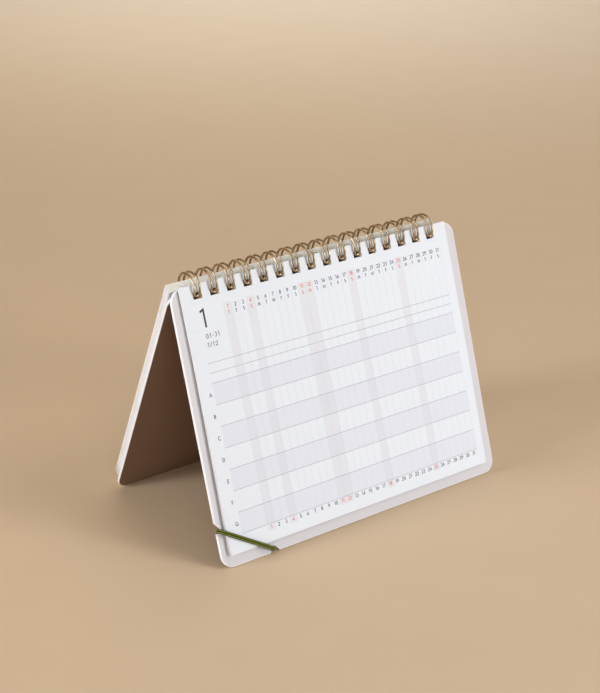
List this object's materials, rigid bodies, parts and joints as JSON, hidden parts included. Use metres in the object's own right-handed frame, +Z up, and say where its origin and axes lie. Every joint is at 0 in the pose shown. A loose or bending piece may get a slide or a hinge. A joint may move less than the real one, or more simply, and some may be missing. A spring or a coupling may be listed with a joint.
{
  "type": "wire-bound tent desk calendar",
  "caption": "Tent-shaped desk calendar: stiff cover boards and loose sheets on a twin-loop wire, with a small elastic band round a lower corner.",
  "frame": {"origin": "middle of the bounding box on the surface it stands on", "axes": "+X along the wire and the leaves' width, +Y from the front leaf towards the rear leaf, +Z up"},
  "size_m": [0.156, 0.0933, 0.1192],
  "materials": {
    "cover_board": "matte paper-covered board",
    "sheets": "matte uncoated paper",
    "binding_wire": "antique bronze, semi-gloss",
    "elastic": "woven olive cover"
  },
  "bodies": {
    "front_leaf": {"front_cover_board": "cover_board", "front_page_pad": "sheets", "twin_loop_wire": "binding_wire", "corner_elastic_band": "elastic"},
    "rear_leaf": {"rear_cover_board": "cover_board"},
    "turned_pages": {"turned_page_pad": "sheets"}
  },
  "joints": [
    {"name": "rear_leaf_hinge", "type": "hinge", "parent": "front_leaf", "child": "rear_leaf", "pos_m": [0, -0.00194, 0.1125], "axis": [1, 0, 0], "range_deg": [-41, 78]},
    {"name": "page_turn_hinge", "type": "hinge", "parent": "rear_leaf", "child": "turned_pages", "pos_m": [0, -0.00194, 0.1125], "axis": [1, 0, 0], "range_deg": [0, 42]}
  ]
}
